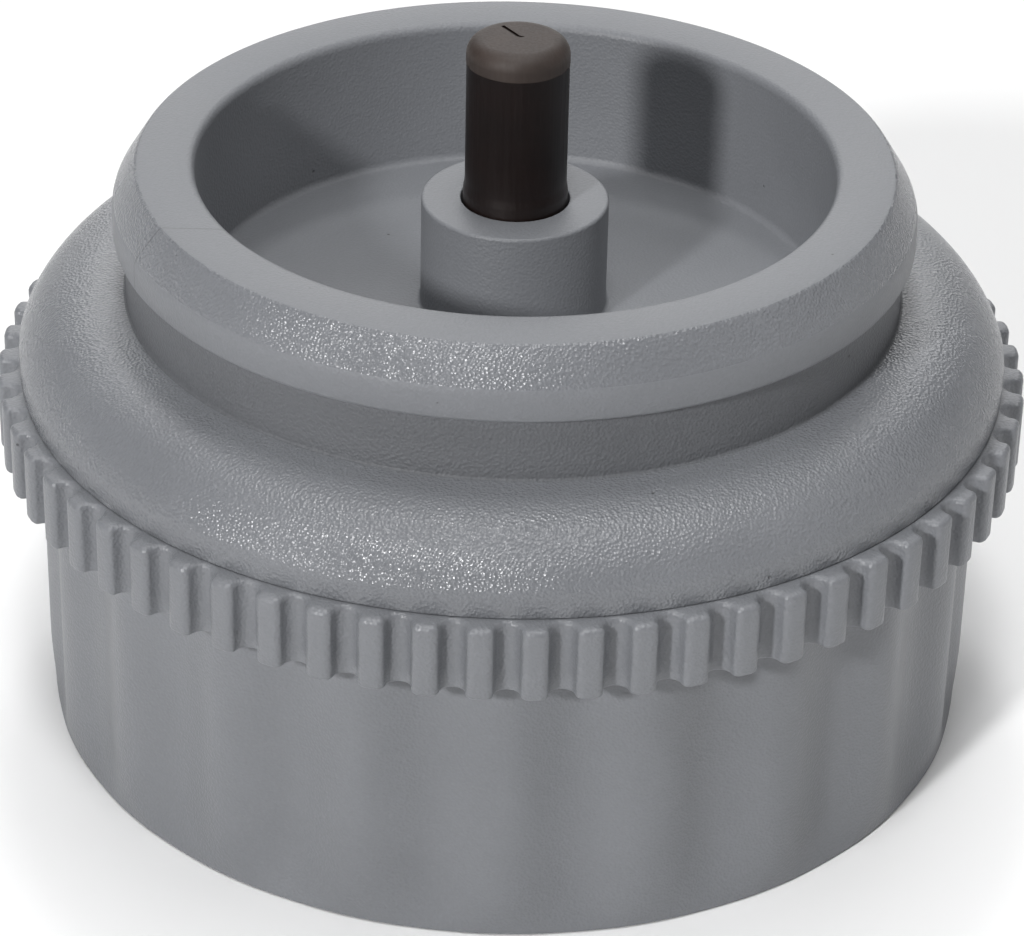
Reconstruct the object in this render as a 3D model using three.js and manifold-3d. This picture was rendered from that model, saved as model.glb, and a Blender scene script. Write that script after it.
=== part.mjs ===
// Valve adapter for a clip-on thermal or motorised actuator, M30 x 1.5.
// A union nut with a toothed collar screws onto a radiator or manifold valve. It turns
// freely on a cup whose snap bead carries the actuator, and a pressure pin in the middle
// of the cup passes the actuator's stroke on to the valve stem.
// Millimetres, +Z up along the common axis, origin in the middle of the nut's lower face.

import * as THREE from 'three';
import { mergeVertices } from 'three/addons/utils/BufferGeometryUtils.js';
import Module from 'manifold-3d';

const wasm = await Module();
wasm.setup();

// ---- driving dimensions -------------------------------------------------------------

const ROUND_STEPS = 48;            // facets round a large turned piece
const PIN_STEPS = 32;              // facets round the pin
const ARC_STEPS = 2;               // half the number of chords in each profile arc
const RUNNING_GAP = 0.3;           // between the cup and the nut that turns on it

// union nut
const SKIRT_CREST_R = 18.46;       // over the narrow ridges between the grip flutes
const FLUTE_COUNT = 21;
const FLUTE_DEPTH = 0.3;
const CREST_SHARE = 0.18;          // part of each flute's pitch that stays a ridge
const FLUTE_STEPS = 6;             // chords across one flute
const COLLAR_LOW = 11.65;          // underside of the toothed collar
const COLLAR_TOP = 14.55;
const TOOTH_COUNT = 64;
const TOOTH_TIP_R = 20;
const TOOTH_FLOOR_R = 19.27;
const TOOTH_TIP_W = 0.9;
const TOOTH_FOOT_W = 1.2;
const NUT_REST_TURN = 0.35;         // degrees; the nut stops anywhere, and rests here
const EDGE_BREAK = 0.15;

// M30 x 1.5 internal thread
const THREAD_MAJOR_R = 15;
const THREAD_PITCH = 1.5;
const THREAD_MINOR_R = THREAD_MAJOR_R - 0.541 * THREAD_PITCH;
const THREAD_TOP = 8.6;
const GROOVE_R = 0.55;             // radius of the rounded groove that forms the thread
const STEPS_PER_TURN = 24;
const LEAD_IN = 1;                 // chamfer at the mouth of the thread
const CHAMBER_R = 15.2;            // clear room above the thread

// spigot of the cup, its groove and the ring that keeps the nut on it
const SPIGOT_R = 13.15;
const SPIGOT_BORE_R = 11.3;
const SPIGOT_LOW = 9.3;
const RING_THICK = 1.1;
const RING_LOW = 10.45;
const RING_OUTER_R = 14.1;
const RING_SEAT_R = 12.35;
const RING_SLACK = 0.12;
const RING_GAP_W = 2.6;            // opening of the split ring
const FLANGE_LOW = 11.85;          // underside of the nut's inner flange

// cup
const CUP_TOP = 22.98;
const CUP_BORE_R = 12.2;
const CUP_FLOOR = 16.91;
const FLOOR_THICK = 1.6;
const LIP_ROUND = 0.33;            // rounding of the bore's upper edge
const BEAD_FLAT_R = 14.46;         // outer edge of the flat top of the snap bead
const BEAD_R = 15.37;
const BEAD_SLOPE_LOW = 21.55;
const BEAD_LOW = 20.3;
const NECK_R = 14.9;
const SHOULDER_TOP = 17.73;
const SHOULDER_FLAT_R = 15.9;      // where the shoulder starts to round over
const SHOULDER_ROUND = 3.48;       // radius of that rounding
const SHOULDER_SIDE_R = 19.12;     // upright side below the rounding

// guide boss in the cup and the tube below the floor
const BOSS_R = 3.6;
const BOSS_TOP = 21.35;
const PIN_HOLE_R = 2.06;
const GUIDE_R = 2.75;
const GUIDE_TOP = 18.9;
const GUIDE_TUBE_R = 4.4;
const GUIDE_LOW = 11.4;
const CLIP_LOW = 12.2;
const CLIP_THICK = 0.7;
const CLIP_SEAT_R = 3.2;

// pressure pin
const PIN_R = 1.97;
const PIN_TOP = 28;
const PIN_LOW = 11;
const PIN_BEVEL = 0.5;
const PIN_COLLAR_R = 2.65;
const PIN_COLLAR_H = 1.5;

// ---- finishes -----------------------------------------------------------------------

const GREY_NYLON = { color: 0x8c8f95, roughness: 0.62, metalness: 0 };
const BROWN_PLASTIC = { color: 0x2b1f1c, roughness: 0.38, metalness: 0 };
const SPRING_STEEL = { color: 0xb4b7ba, roughness: 0.3, metalness: 1 };

// ---- making solids ------------------------------------------------------------------

// Turns a closed (radius, height) path round the Z axis.
function turned(path, steps = ROUND_STEPS) {
  const outline = path.getPoints(ARC_STEPS).filter((point, index, all) => {
    return index === 0 || point.distanceTo(all[index - 1]) > 1e-4;
  });
  const geometry = new THREE.LatheGeometry(outline, steps);
  geometry.rotateX(Math.PI / 2);
  return geometry;
}

// Raises a flat shape from one height to another.
function raised(shape, low, high) {
  const geometry = new THREE.ExtrudeGeometry(shape, {
    depth: high - low,
    bevelEnabled: false,
    curveSegments: ARC_STEPS,
  });
  geometry.translate(0, 0, low);
  return geometry;
}

// Merges shared corners, so that the surface is one closed skin.
function closedSkin(geometry) {
  const bare = geometry.clone();
  bare.deleteAttribute('normal');
  bare.deleteAttribute('uv');
  return mergeVertices(bare, 1e-4);
}

function solidOf(geometry) {
  const skin = closedSkin(geometry);
  return new wasm.Manifold(new wasm.Mesh({
    numProp: 3,
    vertProperties: new Float32Array(skin.attributes.position.array),
    triVerts: new Uint32Array(skin.index.array),
  }));
}

function geometryOf(solid) {
  const mesh = solid.getMesh();
  const geometry = new THREE.BufferGeometry();
  geometry.setAttribute('position', new THREE.BufferAttribute(mesh.vertProperties, 3));
  geometry.setIndex(new THREE.BufferAttribute(mesh.triVerts, 1));
  return geometry;
}

function piece(name, geometry, finish) {
  const mesh = new THREE.Mesh(geometry, new THREE.MeshStandardMaterial(finish));
  mesh.name = name;
  return mesh;
}

function onCircle(radius, angle) {
  return new THREE.Vector2(radius * Math.cos(angle), radius * Math.sin(angle));
}

// ---- union nut ----------------------------------------------------------------------

// A ridge stands at every flute pitch, the first one facing -Y; between two ridges the
// wall is hollowed by a shallow curve.
function skirtShape() {
  const pitch = 2 * Math.PI / FLUTE_COUNT;
  const hollow = pitch * (1 - CREST_SHARE);
  const points = [];
  for (let flute = 0; flute < FLUTE_COUNT; flute += 1) {
    const start = -Math.PI / 2 + flute * pitch + pitch * CREST_SHARE / 2;
    for (let step = 0; step <= FLUTE_STEPS; step += 1) {
      const across = 2 * step / FLUTE_STEPS - 1;
      const radius = SKIRT_CREST_R - FLUTE_DEPTH * (1 - across * across);
      points.push(onCircle(radius, start + hollow * step / FLUTE_STEPS));
    }
  }
  return new THREE.Shape(points);
}

// Flat-tipped teeth with rounded floors between them; a floor faces -Y, over a ridge.
function collarShape() {
  const pitch = 2 * Math.PI / TOOTH_COUNT;
  const tip = TOOTH_TIP_W / 2 / TOOTH_TIP_R;
  const foot = TOOTH_FOOT_W / 2 / TOOTH_FLOOR_R;
  const footRadius = TOOTH_FLOOR_R + 0.25 * (TOOTH_TIP_R - TOOTH_FLOOR_R);
  const points = [];
  for (let tooth = 0; tooth < TOOTH_COUNT; tooth += 1) {
    const middle = -Math.PI / 2 + (tooth + 0.5) * pitch;
    points.push(onCircle(footRadius, middle - foot));
    points.push(onCircle(TOOTH_TIP_R, middle - tip));
    points.push(onCircle(TOOTH_TIP_R, middle + tip));
    points.push(onCircle(footRadius, middle + foot));
    points.push(onCircle(TOOTH_FLOOR_R, middle + (foot + pitch / 2) / 2));
    points.push(onCircle(TOOTH_FLOOR_R, middle + pitch - (foot + pitch / 2) / 2));
  }
  return new THREE.Shape(points);
}

// Everything that is hollow in the nut, apart from the thread's own groove.
function nutHollow() {
  const path = new THREE.Path();
  path.moveTo(0, -1);
  path.lineTo(THREAD_MINOR_R + LEAD_IN + 1, -1);
  path.lineTo(THREAD_MINOR_R, LEAD_IN);
  path.lineTo(THREAD_MINOR_R, THREAD_TOP);
  path.lineTo(CHAMBER_R, THREAD_TOP + (CHAMBER_R - THREAD_MINOR_R));
  path.lineTo(CHAMBER_R, FLANGE_LOW);
  path.lineTo(SPIGOT_R + RUNNING_GAP, FLANGE_LOW);
  path.lineTo(SPIGOT_R + RUNNING_GAP, COLLAR_TOP + 1);
  path.lineTo(0, COLLAR_TOP + 1);
  return turned(path);
}

class ThreadHelix extends THREE.Curve {
  constructor(radius, pitch, low, high) {
    super();
    this.radius = radius;
    this.low = low;
    this.rise = high - low;
    this.turn = 2 * Math.PI * this.rise / pitch;
  }

  getPoint(share, target = new THREE.Vector3()) {
    const flat = onCircle(this.radius, this.turn * share);
    return target.set(flat.x, flat.y, this.low + this.rise * share);
  }
}

function threadGroove() {
  const low = -THREAD_PITCH;
  const high = THREAD_TOP + GROOVE_R;
  const section = new THREE.Shape();
  section.absarc(0, 0, GROOVE_R, 0, 2 * Math.PI);
  return new THREE.ExtrudeGeometry(section, {
    extrudePath: new ThreadHelix(THREAD_MAJOR_R - GROOVE_R, THREAD_PITCH, low, high),
    steps: Math.round(STEPS_PER_TURN * (high - low) / THREAD_PITCH),
    curveSegments: 3,
    bevelEnabled: false,
  });
}

function couplingNut() {
  const skirt = solidOf(raised(skirtShape(), 0, COLLAR_LOW + 0.5));
  const collar = solidOf(raised(collarShape(), COLLAR_LOW, COLLAR_TOP));
  const hollowed = skirt.add(collar).subtract(solidOf(nutHollow()));
  const threaded = hollowed.subtract(solidOf(threadGroove()));
  return piece('coupling_nut', geometryOf(threaded), GREY_NYLON);
}

// ---- cup ----------------------------------------------------------------------------

// One closed outline: up the outside from the spigot to the bead, down the bore, across
// the floor and over the boss, and down the guide that holds the pin's collar.
function cupOutline() {
  const underside = COLLAR_TOP + RUNNING_GAP;
  const ringTop = RING_LOW + RING_THICK + RING_SLACK;
  const roundCentre = SHOULDER_TOP - SHOULDER_ROUND;
  const rimAngle = Math.acos((SHOULDER_SIDE_R - SHOULDER_FLAT_R) / SHOULDER_ROUND);
  const clipTop = CLIP_LOW + CLIP_THICK + RING_SLACK;
  const path = new THREE.Path();
  path.moveTo(SPIGOT_BORE_R, SPIGOT_LOW);
  path.lineTo(SPIGOT_R - EDGE_BREAK, SPIGOT_LOW);
  path.lineTo(SPIGOT_R, SPIGOT_LOW + EDGE_BREAK);
  path.lineTo(SPIGOT_R, RING_LOW - RING_SLACK);
  path.lineTo(RING_SEAT_R, RING_LOW - RING_SLACK);
  path.lineTo(RING_SEAT_R, ringTop);
  path.lineTo(SPIGOT_R, ringTop);
  path.lineTo(SPIGOT_R, underside);
  path.lineTo(SHOULDER_SIDE_R, underside);
  path.absarc(SHOULDER_FLAT_R, roundCentre, SHOULDER_ROUND, rimAngle, Math.PI / 2, false);
  path.lineTo(NECK_R, SHOULDER_TOP);
  path.lineTo(NECK_R, BEAD_LOW - EDGE_BREAK);
  path.lineTo(BEAD_R - EDGE_BREAK, BEAD_LOW);
  path.lineTo(BEAD_R, BEAD_LOW + EDGE_BREAK);
  path.lineTo(BEAD_R, BEAD_SLOPE_LOW - EDGE_BREAK);
  path.lineTo(BEAD_R - EDGE_BREAK / 2, BEAD_SLOPE_LOW + EDGE_BREAK);
  path.lineTo(BEAD_FLAT_R + EDGE_BREAK, CUP_TOP - EDGE_BREAK);
  path.lineTo(BEAD_FLAT_R, CUP_TOP);
  path.absarc(CUP_BORE_R + LIP_ROUND, CUP_TOP - LIP_ROUND, LIP_ROUND, Math.PI / 2, Math.PI, false);
  path.lineTo(CUP_BORE_R, CUP_FLOOR + LIP_ROUND);
  path.lineTo(CUP_BORE_R - LIP_ROUND, CUP_FLOOR);
  path.lineTo(BOSS_R, CUP_FLOOR);
  path.lineTo(BOSS_R, BOSS_TOP - EDGE_BREAK);
  path.lineTo(BOSS_R - EDGE_BREAK, BOSS_TOP);
  path.lineTo(PIN_HOLE_R, BOSS_TOP);
  path.lineTo(PIN_HOLE_R, GUIDE_TOP);
  path.lineTo(GUIDE_R, GUIDE_TOP);
  path.lineTo(GUIDE_R, clipTop);
  path.lineTo(CLIP_SEAT_R, clipTop);
  path.lineTo(CLIP_SEAT_R, CLIP_LOW - RING_SLACK);
  path.lineTo(GUIDE_R, CLIP_LOW - RING_SLACK);
  path.lineTo(GUIDE_R + EDGE_BREAK, GUIDE_LOW);
  path.lineTo(GUIDE_TUBE_R, GUIDE_LOW);
  path.lineTo(GUIDE_TUBE_R, CUP_FLOOR - FLOOR_THICK);
  path.lineTo(SPIGOT_BORE_R, CUP_FLOOR - FLOOR_THICK);
  path.lineTo(SPIGOT_BORE_R, SPIGOT_LOW);
  return path;
}

function adapterCup() {
  return piece('adapter_cup', closedSkin(turned(cupOutline())), GREY_NYLON);
}

// ---- split rings --------------------------------------------------------------------

// A flat ring with a gap that faces +Y, so that it can be sprung into its groove.
function splitRing(name, innerRadius, outerRadius, low, thickness, gapWidth) {
  const outerGap = Math.asin(gapWidth / 2 / outerRadius);
  const innerGap = Math.asin(gapWidth / 2 / innerRadius);
  const shape = new THREE.Shape();
  shape.absarc(0, 0, outerRadius, Math.PI / 2 + outerGap, 5 * Math.PI / 2 - outerGap, false);
  shape.absarc(0, 0, innerRadius, 5 * Math.PI / 2 - innerGap, Math.PI / 2 + innerGap, true);
  const geometry = new THREE.ExtrudeGeometry(shape, {
    depth: thickness,
    bevelEnabled: false,
    curveSegments: ROUND_STEPS / 2,
  });
  const ring = piece(name, closedSkin(geometry), SPRING_STEEL);
  ring.position.z = low;
  return ring;
}

// ---- pressure pin -------------------------------------------------------------------

function pressurePin() {
  const collarLow = CLIP_LOW + CLIP_THICK + RING_SLACK;
  const path = new THREE.Path();
  path.moveTo(0, PIN_LOW);
  path.lineTo(PIN_R - PIN_BEVEL, PIN_LOW);
  path.lineTo(PIN_R, PIN_LOW + PIN_BEVEL);
  path.lineTo(PIN_R, collarLow);
  path.lineTo(PIN_COLLAR_R, collarLow);
  path.lineTo(PIN_COLLAR_R, collarLow + PIN_COLLAR_H);
  path.lineTo(PIN_R, collarLow + PIN_COLLAR_H);
  path.lineTo(PIN_R, PIN_TOP - PIN_BEVEL);
  path.absarc(PIN_R - PIN_BEVEL, PIN_TOP - PIN_BEVEL, PIN_BEVEL, 0, Math.PI / 2, false);
  path.lineTo(0, PIN_TOP);
  return piece('pressure_pin', closedSkin(turned(path, PIN_STEPS)), BROWN_PLASTIC);
}

// ---- assembly -----------------------------------------------------------------------

const fixedGroup = new THREE.Group();
fixedGroup.add(adapterCup());
fixedGroup.add(splitRing('nut_retaining_ring', RING_SEAT_R + RING_SLACK, RING_OUTER_R,
  RING_LOW, RING_THICK, RING_GAP_W));
fixedGroup.add(splitRing('pin_retaining_clip', PIN_R + RING_SLACK, CLIP_SEAT_R - RING_SLACK,
  CLIP_LOW, CLIP_THICK, RING_GAP_W / 2));

const nutGroup = new THREE.Group();
nutGroup.add(couplingNut());
nutGroup.rotation.z = THREE.MathUtils.degToRad(NUT_REST_TURN);

const pinGroup = new THREE.Group();
pinGroup.add(pressurePin());

const adapter = new THREE.Group();
adapter.add(fixedGroup, nutGroup, pinGroup);

export default adapter;
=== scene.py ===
"""Looks of a valve adapter for a clip-on actuator: a cup with a snap bead, a union nut with a
toothed collar, a pressure pin and the two split rings that hold them together.
Metres, +Z up along the common axis, origin in the middle of the nut's lower face."""

import math

import bmesh
import bpy
from mathutils import Euler, Matrix, Vector


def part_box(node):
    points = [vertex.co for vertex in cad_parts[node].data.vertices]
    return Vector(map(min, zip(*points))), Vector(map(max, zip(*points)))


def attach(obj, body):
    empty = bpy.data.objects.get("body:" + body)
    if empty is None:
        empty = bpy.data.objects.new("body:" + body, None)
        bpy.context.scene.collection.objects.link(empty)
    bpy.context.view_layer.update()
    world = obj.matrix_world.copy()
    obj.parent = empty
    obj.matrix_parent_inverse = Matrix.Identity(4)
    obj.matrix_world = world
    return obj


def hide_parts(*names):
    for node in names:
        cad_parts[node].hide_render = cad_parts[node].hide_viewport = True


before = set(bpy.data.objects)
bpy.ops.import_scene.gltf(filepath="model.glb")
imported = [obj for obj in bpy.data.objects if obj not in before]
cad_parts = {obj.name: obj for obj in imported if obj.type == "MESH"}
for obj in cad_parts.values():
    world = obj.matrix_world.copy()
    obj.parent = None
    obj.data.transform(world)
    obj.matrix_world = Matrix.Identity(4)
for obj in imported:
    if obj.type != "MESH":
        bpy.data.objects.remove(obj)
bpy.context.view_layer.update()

bl_info = {
    "name": "Valve adapter",
    "version": (1, 0, 0),
    "blender": (4, 5, 0),
    "location": "3D View > Sidebar > Adapter",
    "description": "Builds a valve adapter for a clip-on actuator, piece by piece",
    "category": "Object",
}

MM = 0.001
AXIS_Z = (0.0, 0.0, 1.0)
SAME_PLACE = 1e-6    # metres within which two points count as one
SHARP = math.radians(32)    # edges that turn by more than this stay crisp
NUT_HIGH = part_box("coupling_nut")[1]
CUP_LOW, CUP_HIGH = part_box("adapter_cup")
PIN_LOW, PIN_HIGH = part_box("pressure_pin")
NUT_RING_LOW, NUT_RING_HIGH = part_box("nut_retaining_ring")
PIN_CLIP_LOW, PIN_CLIP_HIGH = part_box("pin_retaining_clip")


def length(name, description, default):
    return bpy.props.FloatProperty(
        name=name, description=description, default=default, min=0.0,
        unit="LENGTH", subtype="DISTANCE", precision=5,
    )


def count(name, description, default):
    return bpy.props.IntProperty(name=name, description=description, default=default, min=1)


def linear(hex_code):
    """Linear red, green and blue of an sRGB hex colour."""
    shares = [int(hex_code[i:i + 2], 16) / 255 for i in (1, 3, 5)]
    return [s / 12.92 if s <= 0.04045 else ((s + 0.055) / 1.055) ** 2.4 for s in shares]


def colour(name, description, hex_code):
    return bpy.props.FloatVectorProperty(
        name=name, description=description, default=linear(hex_code),
        min=0.0, max=1.0, size=3, subtype="COLOR",
    )


# ---- settings -----------------------------------------------------------------------


class CupSettings(bpy.types.PropertyGroup):
    top: length("Bead top", "Height of the flat top of the snap bead", CUP_HIGH.z)
    bore: length("Bore radius", "Inside radius of the cup", 12.2 * MM)
    lip: length("Lip rounding", "Rounding of the bore's upper edge", 0.33 * MM)
    bead: length("Bead radius", "Radius over the snap bead's side", 15.37 * MM)
    bead_flat: length("Bead flat radius", "Outer radius of the bead's flat top", 14.46 * MM)
    bead_slope_low: length("Slope foot", "Height where the bead's slope ends", 21.54 * MM)
    bead_low: length("Bead underside", "Height of the bead's lower edge", 20.31 * MM)
    neck: length("Neck radius", "Radius of the neck below the bead", 14.95 * MM)
    shoulder: length("Shoulder height", "Height of the flat of the shoulder", 17.73 * MM)
    shoulder_flat: length("Shoulder flat radius", "Where the shoulder starts to round over", 15.9 * MM)
    shoulder_round: length("Shoulder rounding", "Radius of the shoulder's rounding", 3.48 * MM)
    shoulder_side: length("Shoulder side radius", "Radius of the shoulder's upright side", 19.12 * MM)
    shoulder_low: length("Shoulder underside", "Height of the face over the nut", 14.58 * MM)
    floor: length("Floor height", "Height of the cup's floor", 16.91 * MM)
    floor_low: length("Floor underside", "Height of the underside of the floor", 15.3 * MM)
    boss: length("Boss radius", "Radius of the guide boss", 3.6 * MM)
    boss_top: length("Boss top", "Height of the guide boss's top", 21.36 * MM)
    hole: length("Pin hole radius", "Radius of the hole for the pin", 2.09 * MM)
    spigot: length("Spigot radius", "Outside radius of the spigot", 13.15 * MM)
    spigot_bore: length("Spigot bore", "Inside radius of the spigot", 11.3 * MM)
    ring_seat: length("Ring seat", "Radius at the bottom of the nut ring's groove", 12.35 * MM)
    clip_seat: length("Clip seat", "Radius at the bottom of the pin clip's groove", 3.2 * MM)
    guide: length("Guide radius", "Inside radius of the guide below the hole", 2.75 * MM)
    guide_top: length("Guide top", "Height of the stop face in the guide", 18.9 * MM)
    guide_tube: length("Guide tube", "Outside radius of the guide tube", 4.4 * MM)
    guide_low: length("Guide end", "Height of the tube's lower end", CUP_LOW.z + 2.1 * MM)
    # Painted shade: this darkens the neck's grey under the bead's overhang in place of the bead's
    # shadow, with a little real dust.
    shade_and_dust: bpy.props.FloatProperty(
        name="Dust", description="How far dust darkens the neck", default=0.72, min=0.0, max=1.0)
    steps: count("Steps", "Facets round the cup", 288)


class NutSettings(bpy.types.PropertyGroup):
    rest_turn: bpy.props.FloatProperty(
        name="Rest turn", description="Turn of the nut at rest", default=math.radians(0.35),
        subtype="ANGLE")
    top: length("Top", "Height of the nut's top face", NUT_HIGH.z)
    crest: length("Crest radius", "Radius over the ridges of the skirt", 18.46 * MM)
    flutes: count("Flutes", "Number of grip flutes round the skirt", 21)
    flute_depth: length("Flute depth", "Depth of a flute below the crests", 0.62 * MM)
    foot: length("Foot radius", "Radius of the skirt's round lower rim", 18.3 * MM)
    foot_rise: length("Foot rise", "Height over which the ridges are cut back", 1.0 * MM)
    collar_low: length("Collar underside", "Height of the collar's lower face", 11.65 * MM)
    teeth: count("Teeth", "Number of teeth round the collar", 64)
    tip: length("Tip radius", "Radius over the tips of the teeth", NUT_HIGH.x)
    valley: length("Valley radius", "Radius at the bottom of a tooth gap", 19.27 * MM)
    gap: length("Gap width", "Width of a tooth gap at the tips", 1.06 * MM)
    major: length("Thread major radius", "Largest radius of the thread", 15.0 * MM)
    pitch: length("Thread pitch", "Rise of the thread in one turn", 1.5 * MM)
    thread_low: length("Thread start", "Height where the lead-in ends", 0.9 * MM)
    thread_top: length("Thread end", "Height where the relief begins", 8.6 * MM)
    flange: length("Flange bore", "Inside radius of the flange", 13.45 * MM)
    flange_low: length("Flange underside", "Height of the inner flange", 11.85 * MM)


class PinSettings(bpy.types.PropertyGroup):
    top: length("Top", "Height of the pin's top", PIN_HIGH.z)
    low: length("Nose", "Height of the pin's lower end", PIN_LOW.z)
    radius: length("Radius", "Radius of the pin above its guide land", 1.95 * MM)
    land: length("Land radius", "Radius of the pin where it runs in the boss", 2.01 * MM)
    bevel: length("Bevel", "Rounding of the upper end", 0.62 * MM)
    collar: length("Collar radius", "Radius of the stop collar", PIN_HIGH.x)
    collar_height: length("Collar height", "Height of the stop collar itself", 1.5 * MM)
    land_top: length("Land top", "Height where the guide land ends", 21.75 * MM)
    seam: length("Seam", "Height of the parting ridge", PIN_HIGH.z - 0.95 * MM)
    steps: count("Steps", "Facets round the pin", 128)


class RingSettings(bpy.types.PropertyGroup):
    nut_ring_bore: length("Nut ring bore", "Inside radius of the nut's split ring", 12.47 * MM)
    nut_ring_gap: length("Nut ring gap", "Opening of the nut's split ring", 2.6 * MM)
    pin_clip_bore: length("Pin clip bore", "Inside radius of the pin's split clip", 2.09 * MM)
    pin_clip_gap: length("Pin clip gap", "Opening of the pin's split clip", 1.3 * MM)
    edge: length("Edge rounding", "Rounding of the stamped edges", 0.08 * MM)


class FinishSettings(bpy.types.PropertyGroup):
    body: colour("Nylon", "Grey of the moulded cup and nut", "#76787c")
    pin: colour("Pin", "Brown of the pressure pin", "#160b08")
    pin_top: colour("Pin top", "Paler brown of the pin's worn top", "#342a25")
    steel: colour("Steel", "Bare spring steel", "#c4c5c7")
    floor: colour("Floor", "Pale studio floor", "#f4f4f4")


# ---- shaping ------------------------------------------------------------------------


def chain(bm, points):
    """Vertices at (radius, height) points in the XZ plane, joined by edges in order."""
    verts = [bm.verts.new((r, 0.0, z)) for r, z in points]
    for first, second in zip(verts, verts[1:]):
        bm.edges.new((first, second))
    return verts


def rounded_outline(bm, corners):
    """A closed flat outline in the XZ plane. Each corner is (radius, height, cut), and a
    corner with a cut is rounded from that far along both its sides. A large rounding gets
    many segments, a small one few."""
    small_cut = 0.4 * MM
    few, many = 3, 24
    verts = [bm.verts.new((r, 0.0, z)) for r, z, _ in corners]
    bm.faces.new(verts)
    cuts = {}
    for vert, (_, _, cut) in zip(verts, corners):
        if cut > 0:
            cuts.setdefault(cut, []).append(vert)
    for cut, same in cuts.items():
        segments = few if cut < small_cut else many
        bmesh.ops.bevel(
            bm, geom=same, offset=cut, offset_type="OFFSET", segments=segments,
            profile=0.5, affect="VERTICES", material=-1, clamp_overlap=False,
        )
    bmesh.ops.delete(bm, geom=list(bm.faces), context="FACES_ONLY")


def turn_round(bm, geom, steps):
    bmesh.ops.spin(
        bm, geom=geom, cent=(0, 0, 0), axis=AXIS_Z, angle=2 * math.pi,
        steps=steps, use_merge=True, use_duplicate=False,
    )


def drop_axis_edges(bm):
    """A profile that closes on the axis leaves an edge there, which sweeps no surface."""
    on_axis = [e for e in bm.edges if all(abs(v.co.x) < SAME_PLACE for v in e.verts)]
    bmesh.ops.delete(bm, geom=on_axis, context="EDGES")


def repeat_round(bm, geom, times):
    """Copies a pattern round the axis and joins the copies end to end."""
    pitch = 2 * math.pi / times
    bmesh.ops.spin(
        bm, geom=geom, cent=(0, 0, 0), axis=AXIS_Z, angle=pitch * (times - 1),
        steps=times - 1, use_duplicate=True,
    )
    bmesh.ops.remove_doubles(bm, verts=list(bm.verts), dist=SAME_PLACE)


def clean(bm):
    bmesh.ops.remove_doubles(bm, verts=list(bm.verts), dist=SAME_PLACE)
    loose = [v for v in bm.verts if not v.link_faces]
    bmesh.ops.delete(bm, geom=loose, context="VERTS")
    bmesh.ops.recalc_face_normals(bm, faces=list(bm.faces))


def finished(bm, name, body, replaced):
    """Makes the mesh an object of its own that rides on its body."""
    mesh = bpy.data.meshes.new(name)
    bm.to_mesh(mesh)
    bm.free()
    mesh.polygons.foreach_set("use_smooth", [True] * len(mesh.polygons))
    mesh.set_sharp_from_angle(angle=SHARP)
    piece = bpy.data.objects.new(name, mesh)
    bpy.context.scene.collection.objects.link(piece)
    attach(piece, body)
    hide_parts(replaced)
    return piece


def rim_edges(bm, height):
    """Open edges that lie in the plane at a height."""
    return [
        e for e in bm.edges
        if len(e.link_faces) < 2 and all(abs(v.co.z - height) < SAME_PLACE for v in e.verts)
    ]


def fill_between(bm, height):
    """Closes the flat ring between the two open rims at a height."""
    bmesh.ops.triangle_fill(bm, edges=rim_edges(bm, height), use_beauty=True, normal=AXIS_Z)


# ---- materials ----------------------------------------------------------------------


def add(tree, kind, settings=None, links=None):
    """Adds a node, sets its settings and socket values, and links its inputs."""
    node = tree.nodes.new(kind)
    for key, value in (settings or {}).items():
        if isinstance(key, str) and hasattr(node, key):
            setattr(node, key, value)
        else:
            node.inputs[key].default_value = value
    for key, source in (links or {}).items():
        tree.links.new(source, node.inputs[key])
    return node


NOISE_SPREAD = {"From Min": 0.3, "From Max": 0.7}    # the range that a noise mostly fills


def new_material(name):
    material = bpy.data.materials.new(name)
    material.use_nodes = True
    tree = material.node_tree
    tree.nodes.clear()
    return material, tree


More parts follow.
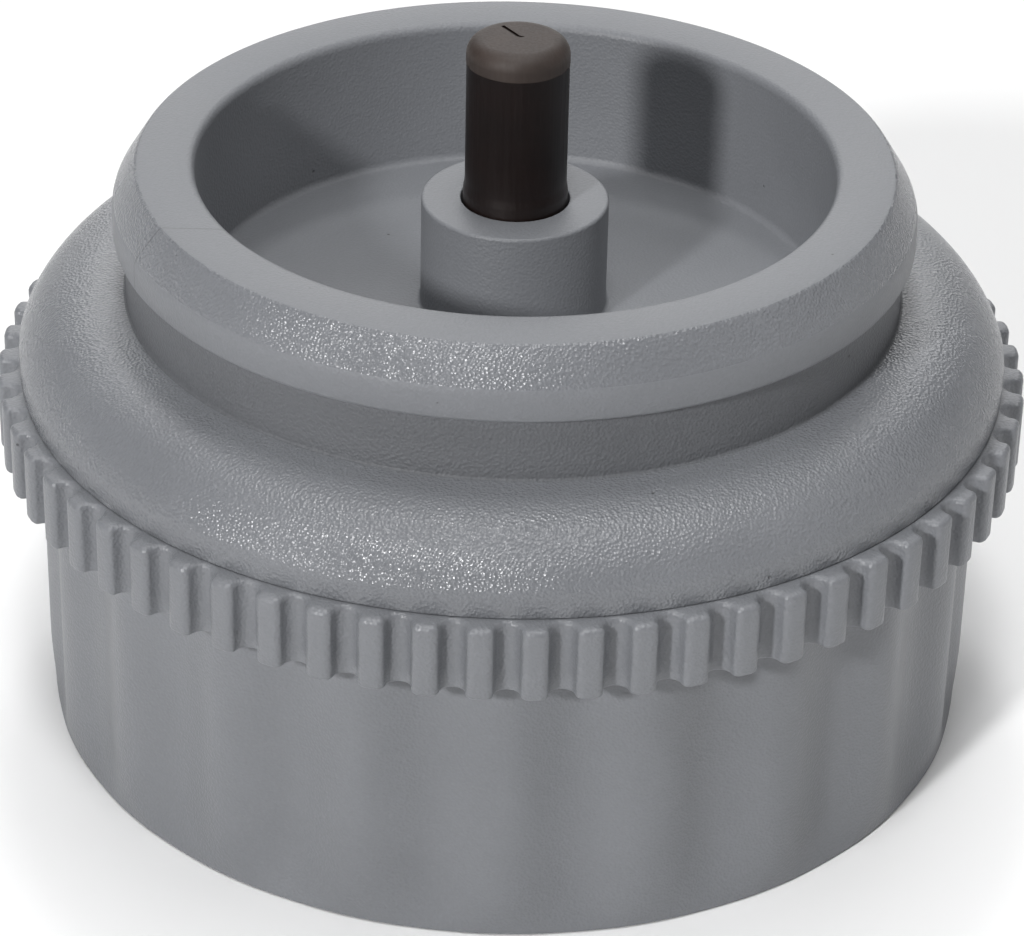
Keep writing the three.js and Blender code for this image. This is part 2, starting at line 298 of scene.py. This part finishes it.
def moulded_nylon(name, base, grain_depth, roughness):
    """Glass-filled nylon, injection moulded. Where the tool is spark-eroded the skin has a
    fine even grain that breaks a highlight into sparks; where it is polished it is satin.
    The real grain is finer still: it is drawn as wide as it must be to show."""
    material, tree = new_material(name)
    place = add(tree, "ShaderNodeTexCoord").outputs["Object"]
    grain_width = 0.12 * MM
    speck_width = 0.12 * MM
    cloud_width = 7 * MM
    pit_spacing = 2.9 * MM

    grain = add(tree, "ShaderNodeTexNoise",
                {"Scale": 1 / grain_width, "Detail": 2.0, "Roughness": 0.55}, {"Vector": place})
    specks = add(tree, "ShaderNodeTexVoronoi", {"Scale": 1 / speck_width}, {"Vector": place})
    clouds = add(tree, "ShaderNodeTexNoise",
                 {"Scale": 1 / cloud_width, "Detail": 4.0}, {"Vector": place})
    pits = add(tree, "ShaderNodeTexVoronoi", {"Scale": 1 / pit_spacing}, {"Vector": place})
    pit = add(tree, "ShaderNodeMapRange",
              {"From Min": 0.014, "From Max": 0.024, "To Min": 0.8, "To Max": 0.0},
              {"Value": pits.outputs["Distance"]})
    weld = weld_line(tree, place)
    dark_share = 0.3
    grain_share = 0.4
    mark_depth = -2.0    # in grain depths
    marks = add(tree, "ShaderNodeMath", {"operation": "MAXIMUM", "use_clamp": True},
                {0: pit.outputs["Result"], 1: weld})

    tone = add(tree, "ShaderNodeMapRange",
               {**NOISE_SPREAD, "To Min": 0.94, "To Max": 1.05},
               {"Value": clouds.outputs["Fac"]})
    fine = add(tree, "ShaderNodeMapRange",
               {**NOISE_SPREAD, "To Min": 0.97, "To Max": 1.03},
               {"Value": grain.outputs["Fac"]})
    both = add(tree, "ShaderNodeMath", {"operation": "MULTIPLY"},
               {0: tone.outputs["Result"], 1: fine.outputs["Result"]})
    grey = add(tree, "ShaderNodeVectorMath", {"operation": "SCALE", 0: base},
               {"Scale": both.outputs["Value"]})
    dark = add(tree, "ShaderNodeMix",
               {"data_type": "RGBA", 7: [c * dark_share for c in base] + [1.0]},
               {0: marks.outputs["Value"], 6: grey.outputs["Vector"]})

    rough = add(tree, "ShaderNodeMapRange",
                {**NOISE_SPREAD, "To Min": roughness - 0.05, "To Max": roughness + 0.05},
                {"Value": clouds.outputs["Fac"]})
    soft = add(tree, "ShaderNodeMath", {"operation": "MULTIPLY", 1: grain_share},
               {0: grain.outputs["Fac"]})
    height = add(tree, "ShaderNodeMath", {"operation": "ADD"},
                 {0: specks.outputs["Distance"], 1: soft.outputs["Value"]})
    cut = add(tree, "ShaderNodeMath", {"operation": "MULTIPLY_ADD", 1: mark_depth},
              {0: marks.outputs["Value"], 2: height.outputs["Value"]})
    bump = add(tree, "ShaderNodeBump", {"Strength": 1.0, "Distance": grain_depth},
               {"Height": cut.outputs["Value"]})
    shader = add(tree, "ShaderNodeBsdfPrincipled", {"IOR": 1.53},
                 {"Base Color": dark.outputs[2], "Roughness": rough.outputs["Result"],
                  "Normal": bump.outputs["Normal"]})
    add(tree, "ShaderNodeOutputMaterial", None, {"Surface": shader.outputs["BSDF"]})
    return material


def weld_line(tree, place):
    """Where the melt met itself on the left of the bead it left a faint hairline."""
    line_y = 6.35 * MM
    half_width = 0.022 * MM
    line_start = -10.5 * MM
    line_low = 20.35 * MM
    strength = 0.45
    parts = add(tree, "ShaderNodeSeparateXYZ", None, {0: place})
    away = add(tree, "ShaderNodeMath", {"operation": "ADD", 1: line_y}, {0: parts.outputs["Y"]})
    apart = add(tree, "ShaderNodeMath", {"operation": "ABSOLUTE"}, {0: away.outputs["Value"]})
    near = add(tree, "ShaderNodeMath", {"operation": "LESS_THAN", 1: half_width},
               {0: apart.outputs["Value"]})
    side = add(tree, "ShaderNodeMath", {"operation": "LESS_THAN", 1: line_start},
               {0: parts.outputs["X"]})
    above = add(tree, "ShaderNodeMath", {"operation": "GREATER_THAN", 1: line_low},
                {0: parts.outputs["Z"]})
    there = add(tree, "ShaderNodeMath", {"operation": "MULTIPLY"},
                {0: near.outputs["Value"], 1: side.outputs["Value"]})
    mark = add(tree, "ShaderNodeMath", {"operation": "MULTIPLY"},
               {0: there.outputs["Value"], 1: above.outputs["Value"]})
    faint = add(tree, "ShaderNodeMath", {"operation": "MULTIPLY", 1: strength},
                {0: mark.outputs["Value"]})
    return faint.outputs["Value"]


def moulded_brown(name, base, roughness):
    """Dark brown technical plastic, injection moulded and satin, with faint marks drawn
    along it by ejection."""
    material, tree = new_material(name)
    place = add(tree, "ShaderNodeTexCoord").outputs["Object"]
    streak_width = 0.12 * MM
    streak_length = 4 * MM
    cloud_width = 1.2 * MM
    streak_depth = 0.006 * MM
    stretched = add(tree, "ShaderNodeMapping",
                    {"vector_type": "POINT",
                     "Scale": (1 / streak_width, 1 / streak_width, 1 / streak_length)},
                    {"Vector": place})
    streaks = add(tree, "ShaderNodeTexNoise", {"Scale": 1.0, "Detail": 2.0},
                  {"Vector": stretched.outputs["Vector"]})
    clouds = add(tree, "ShaderNodeTexNoise", {"Scale": 1 / cloud_width, "Detail": 3.0},
                 {"Vector": place})
    tone = add(tree, "ShaderNodeMapRange",
               {**NOISE_SPREAD, "To Min": 0.85, "To Max": 1.2},
               {"Value": clouds.outputs["Fac"]})
    brown = add(tree, "ShaderNodeVectorMath", {"operation": "SCALE", 0: base},
                {"Scale": tone.outputs["Result"]})
    rough = add(tree, "ShaderNodeMapRange",
                {**NOISE_SPREAD, "To Min": roughness - 0.06, "To Max": roughness + 0.06},
                {"Value": streaks.outputs["Fac"]})
    bump = add(tree, "ShaderNodeBump", {"Strength": 1.0, "Distance": streak_depth},
               {"Height": streaks.outputs["Fac"]})
    shader = add(tree, "ShaderNodeBsdfPrincipled", {"IOR": 1.52},
                 {"Base Color": brown.outputs["Vector"], "Roughness": rough.outputs["Result"],
                  "Normal": bump.outputs["Normal"]})
    add(tree, "ShaderNodeOutputMaterial", None, {"Surface": shader.outputs["BSDF"]})
    return material


def spring_steel(name, base):
    """Bare spring steel, stamped from rolled strip: grey, with fine rolling lines."""
    material, tree = new_material(name)
    place = add(tree, "ShaderNodeTexCoord").outputs["Object"]
    line_width = 0.05 * MM
    line_length = 3 * MM
    line_depth = 0.003 * MM
    stretched = add(tree, "ShaderNodeMapping",
                    {"vector_type": "POINT",
                     "Scale": (1 / line_length, 1 / line_width, 1 / line_width)},
                    {"Vector": place})
    lines = add(tree, "ShaderNodeTexNoise", {"Scale": 1.0, "Detail": 2.0},
                {"Vector": stretched.outputs["Vector"]})
    rough = add(tree, "ShaderNodeMapRange",
                {**NOISE_SPREAD, "To Min": 0.24, "To Max": 0.4},
                {"Value": lines.outputs["Fac"]})
    bump = add(tree, "ShaderNodeBump", {"Strength": 0.6, "Distance": line_depth},
               {"Height": lines.outputs["Fac"]})
    shader = add(tree, "ShaderNodeBsdfPrincipled",
                 {"Base Color": list(base) + [1.0], "Metallic": 1.0},
                 {"Roughness": rough.outputs["Result"], "Normal": bump.outputs["Normal"]})
    add(tree, "ShaderNodeOutputMaterial", None, {"Surface": shader.outputs["BSDF"]})
    return material


def matte_paper(name, base):
    """A plain studio sheet: matte, pale and even, with a faint drift in its tone."""
    material, tree = new_material(name)
    place = add(tree, "ShaderNodeTexCoord").outputs["Object"]
    clouds_per_metre = 6.0
    clouds = add(tree, "ShaderNodeTexNoise",
                 {"Scale": clouds_per_metre, "Detail": 2.0}, {"Vector": place})
    tone = add(tree, "ShaderNodeMapRange", {"To Min": 0.99, "To Max": 1.01},
               {"Value": clouds.outputs["Fac"]})
    pale = add(tree, "ShaderNodeVectorMath", {"operation": "SCALE", 0: base},
               {"Scale": tone.outputs["Result"]})
    shader = add(tree, "ShaderNodeBsdfPrincipled", {"Roughness": 0.9},
                 {"Base Color": pale.outputs["Vector"]})
    add(tree, "ShaderNodeOutputMaterial", None, {"Surface": shader.outputs["BSDF"]})
    return material


# ---- the pieces ---------------------------------------------------------------------


class ADAPTER_OT_cup(bpy.types.Operator):
    """Builds the cup with its snap bead, shoulder, guide boss and spigot"""

    bl_idname = "adapter.cup"
    bl_label = "Cup"

    def execute(self, context):
        s = context.scene.adapter_cup
        nut_ring_low, nut_ring_high = NUT_RING_LOW.z, NUT_RING_HIGH.z
        clip_low, clip_high = PIN_CLIP_LOW.z, PIN_CLIP_HIGH.z
        slack = 0.12 * MM
        clip_groove, groove, crisp = 0.05 * MM, 0.06 * MM, 0.12 * MM
        soft, full = 0.25 * MM, 0.3 * MM
        centre_z = s.shoulder - s.shoulder_round
        sweep = math.asin((s.shoulder_side - s.shoulder_flat) / s.shoulder_round)
        arc_steps = 28
        corners = [
            (s.spigot_bore, CUP_LOW.z, 0.2 * MM),
            (s.spigot, CUP_LOW.z, soft),
            (s.spigot, nut_ring_low - slack, groove),
            (s.ring_seat, nut_ring_low - slack, groove),
            (s.ring_seat, nut_ring_high + slack, groove),
            (s.spigot, nut_ring_high + slack, groove),
            (s.spigot, s.shoulder_low, groove),
            (s.shoulder_side, s.shoulder_low, 0.04 * MM),
        ]
        for step in range(arc_steps + 1):
            turn = sweep * (1 - step / arc_steps)
            corners.append((
                s.shoulder_flat + s.shoulder_round * math.sin(turn),
                centre_z + s.shoulder_round * math.cos(turn), 0,
            ))
        corners += [
            (s.neck, s.shoulder, 0.1 * MM),
            (s.neck, s.bead_low, groove),
            (s.bead, s.bead_low, crisp),
            (s.bead, s.bead_slope_low, soft),
            (s.bead_flat, s.top, crisp),
            (s.bore, s.top, s.lip),
            (s.bore, s.floor, full),
            (s.boss, s.floor, 0.15 * MM),
            (s.boss, s.boss_top, crisp),
            (s.hole, s.boss_top, groove),
            (s.hole, s.guide_top, 0),
            (s.guide, s.guide_top, 0),
            (s.guide, clip_high + slack, clip_groove),
            (s.clip_seat, clip_high + slack, clip_groove),
            (s.clip_seat, clip_low - slack, clip_groove),
            (s.guide, clip_low - slack, clip_groove),
            (s.guide, s.guide_low, 0.15 * MM),
            (s.guide_tube, s.guide_low, soft),
            (s.guide_tube, s.floor_low, full),
            (s.spigot_bore, s.floor_low, 0.38 * MM),
        ]
        bm = bmesh.new()
        rounded_outline(bm, corners)
        turn_round(bm, list(bm.verts) + list(bm.edges), s.steps)
        clean(bm)
        self.set_finishes(bm, s)
        cup = finished(bm, "cup_with_snap_bead", "cup", "adapter_cup")
        finish = context.scene.adapter_finish
        # Painted shade with some dust: the neck's grey is scaled down in place of the shadow under the
        # bead.
        shaded_and_dusty = [c * s.shade_and_dust for c in finish.body]
        for name, base, grain_depth, roughness in (
            ("spark_eroded_nylon", finish.body, 0.034 * MM, 0.27),
            ("polished_nylon", finish.body, 0.012 * MM, 0.52),
            ("shaded_dusty_nylon", shaded_and_dusty, 0.03 * MM, 0.6),
        ):
            cup.data.materials.append(moulded_nylon(name, base, grain_depth, roughness))
        return {"FINISHED"}

    @staticmethod
    def set_finishes(bm, s):
        """The bead's flat top and side, the bore, the floor and the boss are polished, and the neck
        under the bead is painted darker, as the bead's shade with some dust; the rest is grained."""
        polished, shaded_and_dusty = 1, 2
        near_top, near_side, past_bore = 0.03 * MM, 0.1 * MM, 0.4 * MM
        for face in bm.faces:
            middle = face.calc_center_median()
            radius = math.hypot(middle.x, middle.y)
            flat_top = middle.z > s.top - near_top
            band = radius > s.bead - near_side and s.bead_low < middle.z < s.bead_slope_low
            inside = radius < s.bore + past_bore
            # The neck under the bead takes the darker grey: painted shade, with some dust.
            neck = s.shoulder < middle.z < s.bead_low and radius > s.bore
            if flat_top or band or inside:
                face.material_index = polished
            elif neck:
                face.material_index = shaded_and_dusty


class ADAPTER_OT_nut(bpy.types.Operator):
    """Builds the union nut with its toothed collar, fluted skirt and thread"""

    bl_idname = "adapter.nut"
    bl_label = "Union nut"

    def execute(self, context):
        s = context.scene.adapter_nut
        bm = bmesh.new()
        self.thread(bm, s)
        self.hollow(bm, s)
        self.skirt(bm, s)
        self.collar(bm, s)
        for height in (0.0, s.collar_low, s.top):
            fill_between(bm, height)
        clean(bm)
        rest_turn = Matrix.Rotation(s.rest_turn, 3, "Z")
        bmesh.ops.rotate(bm, verts=list(bm.verts), cent=(0, 0, 0), matrix=rest_turn)
        nut = finished(bm, "union_nut", "nut", "coupling_nut")
        finish = context.scene.adapter_finish
        nut.data.materials.append(moulded_nylon("satin_nylon", finish.body, 0.018 * MM, 0.42))
        return {"FINISHED"}

    @staticmethod
    def thread(bm, s):
        """One pitch of the 60 degree form, swept along its helix and cut off level."""
        steps = 144
        crest, root = s.pitch / 4, s.pitch / 8
        flank = (s.pitch - crest - root) / 2
        depth = 0.541 * s.pitch    # five eighths of the full 60 degree triangle
        minor = s.major - depth
        heights = [0, crest, crest + flank, crest + flank + root, s.pitch]
        radii = [minor, minor, s.major, s.major, minor]
        start = -2 * s.pitch
        turns = math.ceil((s.thread_top - start) / s.pitch) + 1
        verts = chain(bm, [(r, start + z) for r, z in zip(radii, heights)])
        edges = [e for v in verts for e in v.link_edges]
        bmesh.ops.spin(
            bm, geom=verts + list(set(edges)), cent=(0, 0, 0), axis=AXIS_Z,
            dvec=(0, 0, s.pitch / steps), angle=2 * math.pi * turns, steps=steps * turns,
            use_duplicate=False,
        )
        bmesh.ops.remove_doubles(bm, verts=list(bm.verts), dist=SAME_PLACE)
        for level, up in ((s.thread_low, -1), (s.thread_top, 1)):
            bmesh.ops.bisect_plane(
                bm, geom=list(bm.verts) + list(bm.edges) + list(bm.faces),
                plane_co=(0, 0, level), plane_no=(0, 0, up), dist=1e-7, clear_outer=True,
            )

    @staticmethod
    def hollow(bm, s):
        """The lead-in below the thread, and the relief and flange above it."""
        steps = 144
        mouth = s.major + 0.35 * MM
        chamber = s.major + 0.2 * MM
        chamber_low = s.thread_top + 0.45 * MM
        cut = 0.2 * MM
        lead_in = bmesh.ops.create_circle(bm, segments=steps, radius=mouth)
        lead_edges = {e for v in lead_in["verts"] for e in v.link_edges}
        bmesh.ops.bridge_loops(bm, edges=rim_edges(bm, s.thread_low) + list(lead_edges))
        verts = chain(bm, [
            (chamber, chamber_low), (chamber, s.flange_low),
            (s.flange, s.flange_low), (s.flange, s.top - cut), (s.flange + cut, s.top),
        ])
        edges = {e for v in verts for e in v.link_edges}
        turn_round(bm, verts + list(edges), steps)
        bmesh.ops.remove_doubles(bm, verts=list(bm.verts), dist=SAME_PLACE)
        ends = rim_edges(bm, s.thread_top) + rim_edges(bm, chamber_low)
        bmesh.ops.bridge_loops(bm, edges=ends)

    @staticmethod
    def raised_wall(bm, outline, low, high, bevels):
        """Raises a flat closed outline to a wall, rounds its rims and opens both ends."""
        mesh = bmesh.new()
        outline(mesh)
        bmesh.ops.contextual_create(mesh, geom=list(mesh.edges))
        bmesh.ops.translate(mesh, vec=(0, 0, low), verts=list(mesh.verts))
        raised = bmesh.ops.extrude_face_region(mesh, geom=list(mesh.faces), use_keep_orig=True)
        top = [g for g in raised["geom"] if isinstance(g, bmesh.types.BMVert)]
        bmesh.ops.translate(mesh, vec=(0, 0, high - low), verts=top)
        bmesh.ops.recalc_face_normals(mesh, faces=list(mesh.faces))
        for level, width in zip((low, high), bevels):
            rim = [
                e for e in mesh.edges if all(abs(v.co.z - level) < SAME_PLACE for v in e.verts)
            ]
            bmesh.ops.bevel(
                mesh, geom=rim, offset=width, offset_type="OFFSET", segments=3,
                profile=0.5, affect="EDGES", material=-1, clamp_overlap=False,
            )
        many_sided = 100
        caps = [f for f in mesh.faces if len(f.verts) > many_sided]
        bmesh.ops.delete(mesh, geom=caps, context="FACES")
        kept = bpy.data.meshes.new("wall")
        mesh.to_mesh(kept)
        mesh.free()
        bm.from_mesh(kept)
        bpy.data.meshes.remove(kept)

    @staticmethod
    def skirt(bm, s):
        """A wave of soft ridges and hollows; a ridge faces -Y. The ridges are cut back towards
        the foot, and the hollows run out there, so that the lower rim is round."""
        rim_round = 0.14 * MM
        swing = s.flute_depth / 2
        middle = s.crest - swing
        runout = 2.6 * MM
        rim_steps, runout_steps, flute_steps = 4, 12, 24
        levels = [
            rim_round * (1 - math.cos(math.pi / 2 * k / rim_steps)) for k in range(rim_steps + 1)
        ]
        levels += [
            rim_round + (runout - rim_round) * k / runout_steps for k in range(1, runout_steps + 1)
        ]
        levels.append(s.collar_low)
        circle = bmesh.ops.create_circle(bm, segments=s.flutes * flute_steps, radius=s.crest)
        rings = [circle["verts"]]
        for low, high in zip(levels, levels[1:]):
            rim = {e for v in rings[-1] for e in v.link_edges if e.other_vert(v) in rings[-1]}
            raised = bmesh.ops.extrude_edge_only(bm, edges=list(rim))
            verts = [g for g in raised["geom"] if isinstance(g, bmesh.types.BMVert)]
            bmesh.ops.translate(bm, vec=(0, 0, high - low), verts=verts)
            rings.append(verts)
        for height, ring in zip(levels, rings):
            cut_back = s.foot + (s.crest - s.foot) * min(1.0, height / s.foot_rise)
            run = max(0.0, 1 - height / runout) ** 2
            below = max(0.0, rim_round - height)
            inset = rim_round - math.sqrt(rim_round ** 2 - below ** 2)
            for vert in ring:
                angle = math.atan2(vert.co.y, vert.co.x) + math.pi / 2
                wave = min(middle + swing * math.cos(s.flutes * angle), cut_back)
                radius = wave + (s.foot - wave) * run - inset
                vert.co.xy = vert.co.xy.normalized() * radius

    def collar(self, bm, s):
        """Teeth with round-bottomed gaps between them; a gap faces -Y."""

        def outline(mesh):
            draft = 0.9    # a gap is narrower at its bottom, so that the mould lets go
            tip_round = 0.3 * MM
            near_tip = 0.01 * MM
            root = draft * s.gap / 2
            middle = s.valley + root
            reach = math.sqrt(s.tip ** 2 - (s.gap / 2) ** 2)
            front = Matrix.Rotation(-math.pi / 2, 4, "Z")
            pitch = 2 * math.pi / s.teeth
            mouth = mesh.verts.new(front @ Vector((reach, -s.gap / 2, 0)))
            wall = mesh.verts.new(front @ Vector((middle, -root, 0)))
            mesh.edges.new((mouth, wall))
            bottom = bmesh.ops.spin(
                mesh, geom=[wall], cent=front @ Vector((middle, 0, 0)), axis=AXIS_Z,
                angle=-math.pi, steps=8)
            last = [g for g in bottom["geom_last"] if isinstance(g, bmesh.types.BMVert)][0]
            far = mesh.verts.new(front @ Vector((reach, s.gap / 2, 0)))
            onward = mesh.verts.new(Matrix.Rotation(pitch, 4, "Z") @ mouth.co)
            mesh.edges.new((last, far))
            mesh.edges.new((far, onward))
            repeat_round(mesh, list(mesh.verts) + list(mesh.edges), s.teeth)
            bmesh.ops.contextual_create(mesh, geom=list(mesh.edges))
            tips = [v for v in mesh.verts if v.co.length > s.tip - near_tip]
            bmesh.ops.bevel(
                mesh, geom=tips, offset=tip_round, offset_type="OFFSET", segments=5,
                profile=0.5, affect="VERTICES", material=-1, clamp_overlap=False,
            )
            bmesh.ops.delete(mesh, geom=list(mesh.faces), context="FACES_ONLY")

        lower_round, upper_round = 0.14 * MM, 0.2 * MM
        self.raised_wall(bm, outline, s.collar_low, s.top, (lower_round, upper_round))


class ADAPTER_OT_pin(bpy.types.Operator):
    """Builds the pressure pin with its stop collar and the gate mark in its top"""

    bl_idname = "adapter.pin"
    bl_label = "Pressure pin"

    def execute(self, context):
        s = context.scene.adapter_pin
        slack = 0.12 * MM
        stop_low = PIN_CLIP_HIGH.z + slack
        stop_high = stop_low + s.collar_height
        taper = 0.35 * MM
        seam_half = 0.035 * MM
        proud = 0.016 * MM
        corners = [
            (0, s.low, 0),
            (s.radius, s.low, 0.45 * MM),
            (s.radius, stop_low, 0.03 * MM),
            (s.collar, stop_low, 0.1 * MM),
            (s.collar, stop_high, 0.15 * MM),
            (s.land, stop_high, 0.05 * MM),
            (s.land, s.land_top, 0.05 * MM),
            (s.radius, s.land_top + taper, 0.1 * MM),
            (s.radius, s.seam - seam_half, 0),
            (s.radius + proud, s.seam, 0),
            (s.radius + proud, s.seam + seam_half, 0),
            (s.radius + proud * 0.5, s.top, s.bevel),
            (0, s.top, 0),
        ]
        bm = bmesh.new()
        rounded_outline(bm, corners)
        drop_axis_edges(bm)
        turn_round(bm, list(bm.verts) + list(bm.edges), s.steps)
        clean(bm)
        for face in bm.faces:
            face.material_index = 1 if face.calc_center_median().z > s.seam else 0
        pin = finished(bm, "pressure_pin_moulded", "pin", "pressure_pin")
        finish = context.scene.adapter_finish
        pin.data.materials.append(moulded_brown("satin_brown_plastic", finish.pin, 0.42))
        pin.data.materials.append(moulded_brown("worn_brown_plastic", finish.pin_top, 0.62))
        self.cut_gate_mark(pin, s)
        return {"FINISHED"}

    @staticmethod
    def cut_gate_mark(pin, s):
        """A short bent slit in the top, where the gate was broken off."""
        depth = 0.07 * MM
        width = 0.15 * MM
        bm = bmesh.new()
        start = Vector((-0.62, 1.05, 0)) * MM
        bend = Vector((-0.02, 0.16, 0)) * MM
        end = Vector((0.16, 0.1, 0)) * MM
        across = (bend - start).normalized().cross(Vector(AXIS_Z)) * width / 2
        low = Vector((0, 0, s.top - depth))
        line = [start, bend, end]
        ring = [point - across for point in line] + [point + across for point in reversed(line)]
        verts = [bm.verts.new(point + low) for point in ring]
        bm.faces.new(verts)
        raised = bmesh.ops.extrude_face_region(bm, geom=list(bm.faces), use_keep_orig=True)
        top = [g for g in raised["geom"] if isinstance(g, bmesh.types.BMVert)]
        bmesh.ops.translate(bm, vec=(0, 0, 3 * depth), verts=top)
        bmesh.ops.recalc_face_normals(bm, faces=list(bm.faces))
        mesh = bpy.data.meshes.new("gate_mark")
        bm.to_mesh(mesh)
        bm.free()
        cutter = bpy.data.objects.new("gate_mark", mesh)
        bpy.context.scene.collection.objects.link(cutter)
        cut = pin.modifiers.new("gate_mark", "BOOLEAN")
        cut.operation = "DIFFERENCE"
        cut.solver = "EXACT"
        cut.object = cutter
        graph = bpy.context.evaluated_depsgraph_get()
        result = bpy.data.meshes.new_from_object(pin.evaluated_get(graph))
        result.set_sharp_from_angle(angle=SHARP)
        pin.modifiers.clear()
        pin.data = result
        bpy.data.objects.remove(cutter)


class ADAPTER_OT_rings(bpy.types.Operator):
    """Builds the split ring that holds the nut and the split clip that holds the pin"""

    bl_idname = "adapter.rings"
    bl_label = "Retaining rings"

    def execute(self, context):
        s = context.scene.adapter_rings
        steps = 120
        steel = spring_steel("rolled_spring_steel", context.scene.adapter_finish.steel)
        for name, node, inner, low, high, gap in (
            ("nut_split_ring", "nut_retaining_ring", s.nut_ring_bore, NUT_RING_LOW,
             NUT_RING_HIGH, s.nut_ring_gap),
            ("pin_split_clip", "pin_retaining_clip", s.pin_clip_bore, PIN_CLIP_LOW,
             PIN_CLIP_HIGH, s.pin_clip_gap),
        ):
            outer = high.x
            half = math.asin(gap / 2 / inner)
            bm = bmesh.new()
            corners = [(inner, low.z), (outer, low.z), (outer, high.z), (inner, high.z)]
            section = bm.faces.new([bm.verts.new((r, 0.0, z)) for r, z in corners])
            geom = [section] + list(section.edges) + list(section.verts)
            bmesh.ops.rotate(bm, verts=list(bm.verts), cent=(0, 0, 0),
                             matrix=Matrix.Rotation(math.pi / 2 + half, 3, "Z"))
            bmesh.ops.spin(bm, geom=geom, cent=(0, 0, 0), axis=AXIS_Z,
                           angle=2 * math.pi - 2 * half, steps=steps, use_duplicate=False)
            clean(bm)
            ring = finished(bm, name, "cup", node)
            ring.data.materials.append(steel)
            edge = ring.modifiers.new("edge", "BEVEL")
            edge.width = s.edge
            edge.segments = 2
        return {"FINISHED"}


class ADAPTER_OT_stage(bpy.types.Operator):
    """Sets up the pale floor, the studio lights and the camera"""

    bl_idname = "adapter.stage"
    bl_label = "Stage"

    def execute(self, context):
        self.floor(context)
        self.lights(context)
        self.camera(context)
        context.scene.view_settings.view_transform = "Standard"
        return {"FINISHED"}

    @staticmethod
    def floor(context):
        """A sheet three metres to each side, a hair below the nut."""
        half_side = 3.0
        drop = 0.02 * MM
        bm = bmesh.new()
        bmesh.ops.create_grid(bm, x_segments=4, y_segments=4, size=half_side)
        bmesh.ops.translate(bm, vec=(0, 0, -drop), verts=list(bm.verts))
        mesh = bpy.data.meshes.new("floor")
        bm.to_mesh(mesh)
        bm.free()
        floor = bpy.data.objects.new("floor", mesh)
        context.scene.collection.objects.link(floor)
        mesh.materials.append(matte_paper("studio_paper", context.scene.adapter_finish.floor))

    @staticmethod
    def lights(context):
        """Round area lights that all face the middle of the adapter. Azimuth is counted from +X
        and elevation from the floor, in degrees; distance and size are metres, power is watts."""
        world = bpy.data.worlds.new("studio")
        context.scene.world = world
        world.use_nodes = True
        background = world.node_tree.nodes["Background"]
        background.inputs["Color"].default_value = (0.92, 0.95, 1.0, 1.0)
        background.inputs["Strength"].default_value = 0.02
        target = Vector((0, 0, 15 * MM))
        for name, azimuth, elevation, distance, size, power in (
            ("key", -123, 27, 0.6, 0.06, 2.35),
            ("back_sheet", 90, 25, 0.9, 0.9, 3.6),
            ("back_lamp", 95, 62, 0.6, 0.1, 0.5),
            ("top_fill", 0, 89, 0.9, 0.8, 3.4),
            ("front_lamp", -93, 74, 0.6, 0.1, 0.95),
            ("right_fill", 0, 30, 0.9, 0.8, 1.1),
        ):
            data = bpy.data.lights.new(name, "AREA")
            data.shape = "DISK"
            data.size = size
            data.energy = power
            light = bpy.data.objects.new(name, data)
            context.scene.collection.objects.link(light)
            turn, rise = math.radians(azimuth), math.radians(elevation)
            level = math.cos(rise)
            way = Vector((math.cos(turn) * level, math.sin(turn) * level, math.sin(rise)))
            light.location = target + way * distance
            light.rotation_euler = way.to_track_quat("Z", "Y").to_euler()

    @staticmethod
    def camera(context):
        """A long lens that looks down on the adapter from -Y."""
        data = bpy.data.cameras.new("camera")
        data.sensor_width = 36
        data.lens = 137.26
        data.clip_start = 0.005
        camera = bpy.data.objects.new("camera", data)
        context.scene.collection.objects.link(camera)
        elevation = math.radians(31.14)
        roll = math.radians(1.322)
        aim = Vector((0.1155, 0, 9.207)) * MM
        distance = 155.71 * MM
        back = Vector((0, -math.cos(elevation), math.sin(elevation)))
        turn = Euler((math.pi / 2 - elevation, 0, 0)).to_matrix() @ Matrix.Rotation(roll, 3, "Z")
        camera.matrix_world = Matrix.Translation(aim + back * distance) @ turn.to_4x4()
        context.scene.camera = camera


class ADAPTER_PT_panel(bpy.types.Panel):
    """Lists the steps that build the adapter"""

    bl_idname = "ADAPTER_PT_panel"
    bl_label = "Valve adapter"
    bl_space_type = "VIEW_3D"
    bl_region_type = "UI"
    bl_category = "Adapter"

    def draw(self, context):
        for operator in OPERATORS:
            self.layout.operator(operator.bl_idname)
        for group in SETTINGS:
            settings = getattr(context.scene, group)
            for key in settings.bl_rna.properties.keys():
                if key not in ("rna_type", "name"):
                    self.layout.prop(settings, key)


OPERATORS = (ADAPTER_OT_cup, ADAPTER_OT_nut, ADAPTER_OT_pin, ADAPTER_OT_rings, ADAPTER_OT_stage)
SETTINGS = {
    "adapter_cup": CupSettings,
    "adapter_nut": NutSettings,
    "adapter_pin": PinSettings,
    "adapter_rings": RingSettings,
    "adapter_finish": FinishSettings,
}


def register():
    for cls in (*SETTINGS.values(), *OPERATORS, ADAPTER_PT_panel):
        bpy.utils.register_class(cls)
    for name, group in SETTINGS.items():
        setattr(bpy.types.Scene, name, bpy.props.PointerProperty(type=group))


def unregister():
    for name in SETTINGS:
        delattr(bpy.types.Scene, name)
    for cls in reversed((*SETTINGS.values(), *OPERATORS, ADAPTER_PT_panel)):
        bpy.utils.unregister_class(cls)


def main():
    register()
    bpy.ops.adapter.cup()
    bpy.ops.adapter.nut()
    bpy.ops.adapter.pin()
    bpy.ops.adapter.rings()
    bpy.ops.adapter.stage()


if __name__ == "__main__":
    main()
